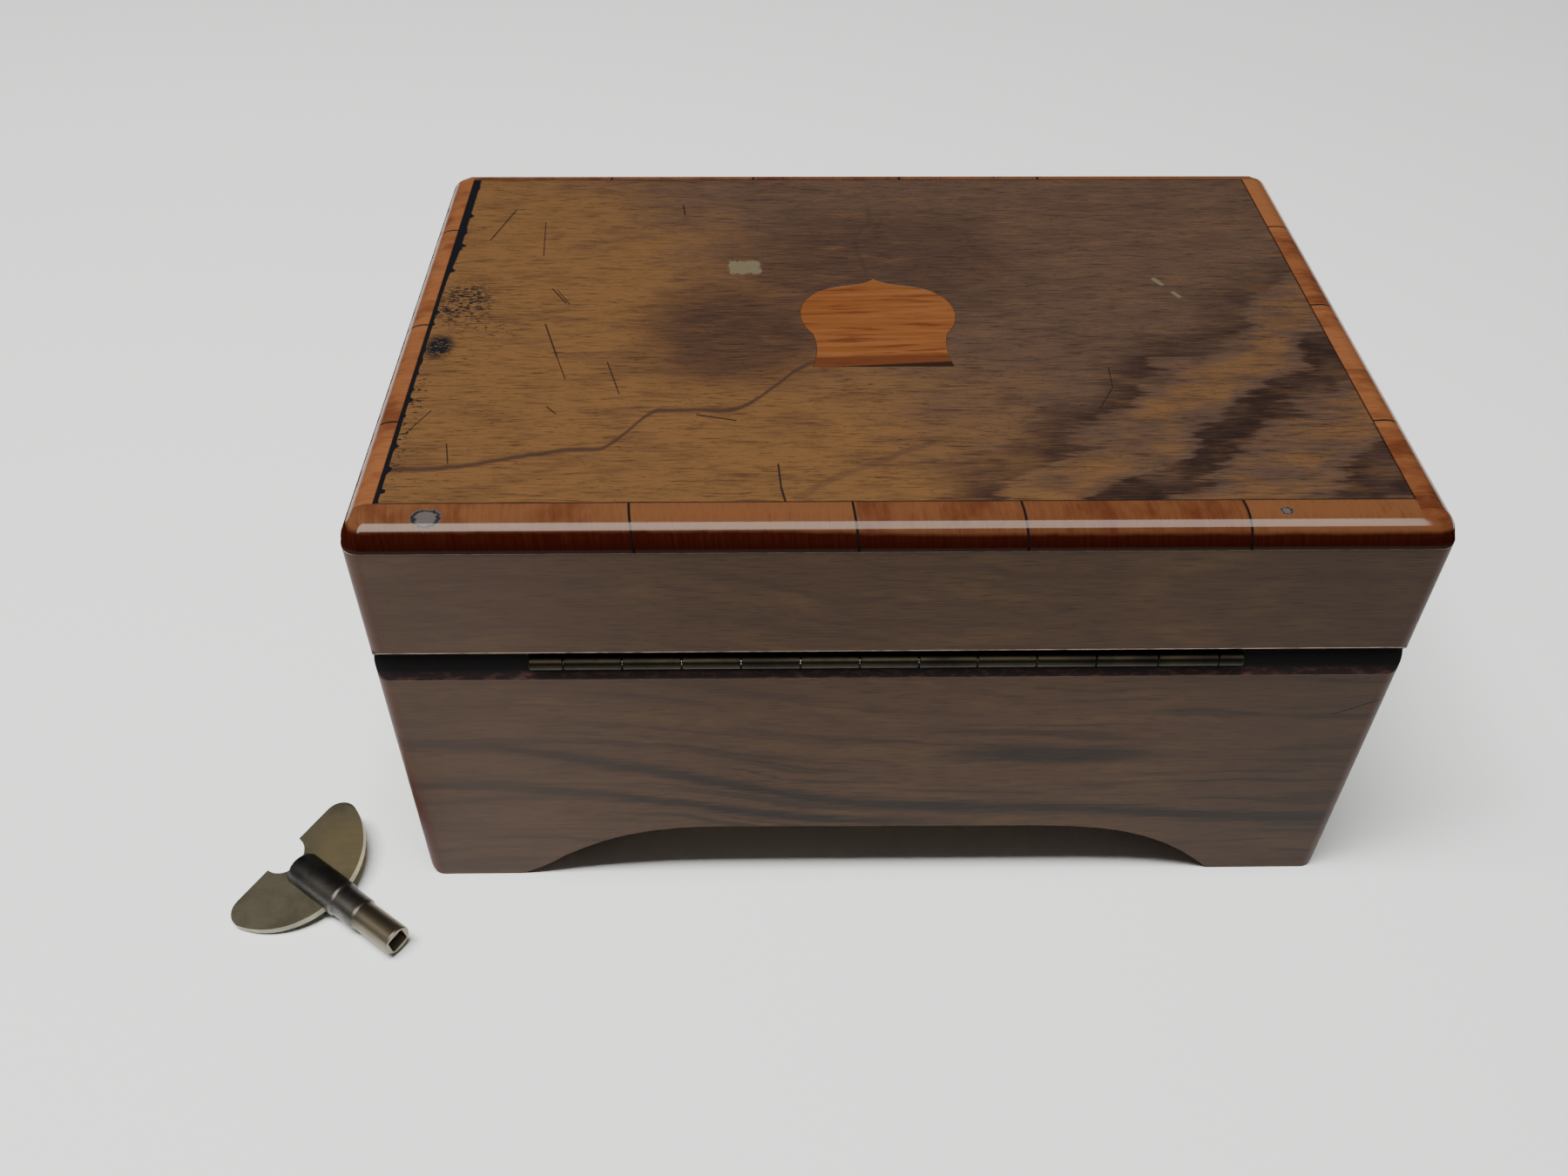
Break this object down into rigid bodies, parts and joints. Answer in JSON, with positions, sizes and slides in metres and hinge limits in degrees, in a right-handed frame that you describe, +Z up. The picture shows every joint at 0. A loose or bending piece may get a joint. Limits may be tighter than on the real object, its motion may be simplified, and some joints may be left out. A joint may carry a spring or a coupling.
{
  "type": "cylinder music box",
  "caption": "Small wooden cylinder music box on arched feet, with a hinged banded lid, a comb and pinned cylinder movement inside, and a loose winding key.",
  "frame": {"origin": "the middle of the footprint of the case and the key beside it, on the surface that they stand on", "axes": "+X along the case's long side, to the right as seen from the opening side; +Y towards the hinge side; +Z up"},
  "size_m": [0.2088, 0.1351, 0.088],
  "materials": {
    "walnut_veneer": "french polished figured walnut veneer, worn at the edges",
    "tulipwood": "glossy polished cross-grained banding and inlay",
    "whitewood": "bare unfinished softwood",
    "brass": "lacquered, slightly dulled",
    "aged_brass": "dark patina",
    "steel": "fine brushed",
    "blued_steel": "heat blued",
    "clear_glass": "clear pane"
  },
  "bodies": {
    "case": {"base_back_panel": "walnut_veneer", "base_front_panel": "walnut_veneer", "base_left_panel": "walnut_veneer", "base_right_panel": "walnut_veneer", "bedplate": "brass", "bedplate_screw_1": "steel", "bedplate_screw_2": "steel", "bedplate_screw_3": "steel", "bedplate_screw_4": "steel", "bottom_board": "whitewood", "bridge_pillar_back": "brass", "bridge_pillar_front": "brass", "click_screw": "blued_steel", "comb": "steel", "comb_base": "brass", "comb_screw_1": "blued_steel", "comb_screw_2": "blued_steel", "comb_screw_3": "blued_steel", "cylinder_bearing": "brass", "glass_rest_left": "walnut_veneer", "glass_rest_right": "walnut_veneer", "governor_cock": "brass", "governor_plate": "brass", "hinge_leaf_base": "aged_brass", "hinge_pin": "steel", "spring_bridge": "brass", "stop_post": "brass", "third_arbor_cock": "brass"},
    "spring_barrel": {"barrel_drum": "brass", "barrel_cover": "brass", "crown_wheel": "brass", "mainspring": "blued_steel"},
    "winding_work": {"winding_arbor": "steel", "ratchet_wheel": "steel"},
    "click": {"click": "steel"},
    "cylinder": {"cylinder_sleeve": "brass", "cylinder_cap": "brass", "cylinder_arbor": "steel", "cylinder_wheel": "brass"},
    "second_arbor": {"second_wheel": "brass"},
    "third_arbor": {"worm_wheel": "brass"},
    "governor_screw": {"endless_screw": "steel", "fly": "brass"},
    "stop_lever": {"stop_lever": "steel"},
    "inner_glass": {"inner_glass": "clear_glass"},
    "key": {"key_wings": "aged_brass", "key_shank": "aged_brass"},
    "lid": {"lid_back_rail": "walnut_veneer", "lid_banding_back": "tulipwood", "lid_banding_front": "tulipwood", "lid_banding_left": "tulipwood", "lid_banding_right": "tulipwood", "lid_front_rail": "walnut_veneer", "lid_inlay_shield": "tulipwood", "lid_left_rail": "walnut_veneer", "lid_right_rail": "walnut_veneer", "lid_top_board": "walnut_veneer", "hinge_leaf_lid": "aged_brass"}
  },
  "joints": [
    {"name": "lid_hinge", "type": "hinge", "parent": "case", "child": "lid", "pos_m": [-0.0184, 0.0475, 0.058], "axis": [-1, 0, 0], "range_deg": [0, 105]},
    {"name": "glass_lift", "type": "slide", "parent": "case", "child": "inner_glass", "axis": [0, 0, 1], "range_m": [0, 0.016]},
    {"name": "cylinder_spin", "type": "hinge", "parent": "case", "child": "cylinder", "pos_m": [-0.0184, -0.0055, 0.0365], "axis": [1, 0, 0], "continuous": true},
    {"name": "barrel_spin", "type": "hinge", "parent": "case", "child": "spring_barrel", "pos_m": [-0.0644, -0.0055, 0.026], "axis": [0, 0, 1], "continuous": true},
    {"name": "second_arbor_spin", "type": "hinge", "parent": "case", "child": "second_arbor", "pos_m": [0.0276, 0.0096, 0.0365], "axis": [1, 0, 0], "continuous": true},
    {"name": "third_arbor_spin", "type": "hinge", "parent": "case", "child": "third_arbor", "pos_m": [0.0352, 0.02008, 0.03045], "axis": [1, 0, 0], "continuous": true},
    {"name": "governor_spin", "type": "hinge", "parent": "case", "child": "governor_screw", "pos_m": [0.0352, 0.02938, 0.03], "axis": [0, 0, 1], "continuous": true},
    {"name": "winding_turn", "type": "hinge", "parent": "case", "child": "winding_work", "pos_m": [-0.0644, -0.0055, 0.02], "axis": [0, 0, 1], "range_deg": [0, 1440]},
    {"name": "click_swing", "type": "hinge", "parent": "case", "child": "click", "pos_m": [-0.0599, 0.006, 0.0408], "axis": [0, 0, 1], "range_deg": [0, 5]},
    {"name": "stop_lever_swing", "type": "hinge", "parent": "case", "child": "stop_lever", "pos_m": [0.0221, 0.032, 0.0416], "axis": [0, 0, 1], "range_deg": [-19, 0]},
    {"name": "key_lift", "type": "slide", "parent": "case", "child": "key", "axis": [0, 0, 1], "range_m": [0, 0.06]}
  ],
  "couplings": [
    {"joint": "barrel_spin", "follows": "cylinder_spin", "ratio": 0.25},
    {"joint": "second_arbor_spin", "follows": "cylinder_spin", "ratio": -4},
    {"joint": "third_arbor_spin", "follows": "cylinder_spin", "ratio": 12},
    {"joint": "governor_spin", "follows": "cylinder_spin", "ratio": -240}
  ]
}
